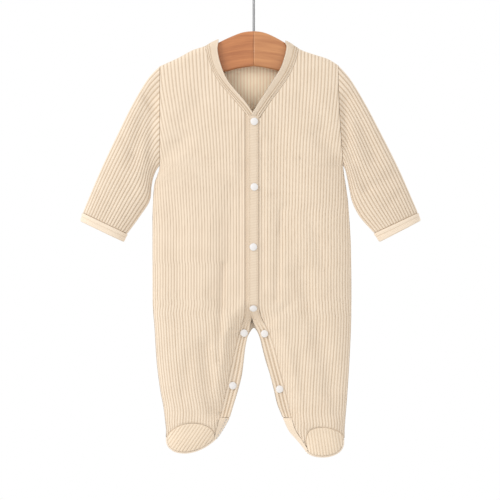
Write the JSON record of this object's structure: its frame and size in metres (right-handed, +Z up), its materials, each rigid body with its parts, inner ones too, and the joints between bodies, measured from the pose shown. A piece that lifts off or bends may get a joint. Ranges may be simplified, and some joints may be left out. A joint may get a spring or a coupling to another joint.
{
  "type": "baby romper on a hanger",
  "caption": "Rib-knit baby romper with long sleeves, closed feet and a snap front, hanging on a small wooden hanger with a wire hook.",
  "frame": {"origin": "inside top of the hanger's hook, where a rail holds it", "axes": "+Z up, +X to the right of someone who faces the front, which looks along -Y"},
  "size_m": [0.4483, 0.0454, 0.6548],
  "materials": {
    "rib_knit": "soft cotton rib knit, matt",
    "binding_knit": "fine flat knit, matt",
    "snap_cap": "smooth, slightly glossy",
    "hanger_wood": "clear satin lacquer",
    "hook_wire": "polished wire"
  },
  "bodies": {
    "root": {"front_left": "rib_knit", "front_right": "rib_knit", "back": "rib_knit", "front_band_right": "binding_knit", "front_band_left": "binding_knit", "back_leg_band": "binding_knit", "neck_band": "binding_knit", "sleeve_left": "rib_knit", "sleeve_right": "rib_knit", "cuff_left": "binding_knit", "cuff_right": "binding_knit", "vamp_left": "rib_knit", "vamp_right": "rib_knit", "sole_left": "binding_knit", "sole_right": "binding_knit", "snap_1": "snap_cap", "snap_2": "snap_cap", "snap_3": "snap_cap", "snap_4": "snap_cap", "snap_5": "snap_cap", "snap_6": "snap_cap", "snap_7": "snap_cap", "snap_8": "snap_cap", "hanger_arm_left": "hanger_wood", "hanger_arm_right": "hanger_wood", "hanger_hook": "hook_wire"}
  },
  "joints": []
}
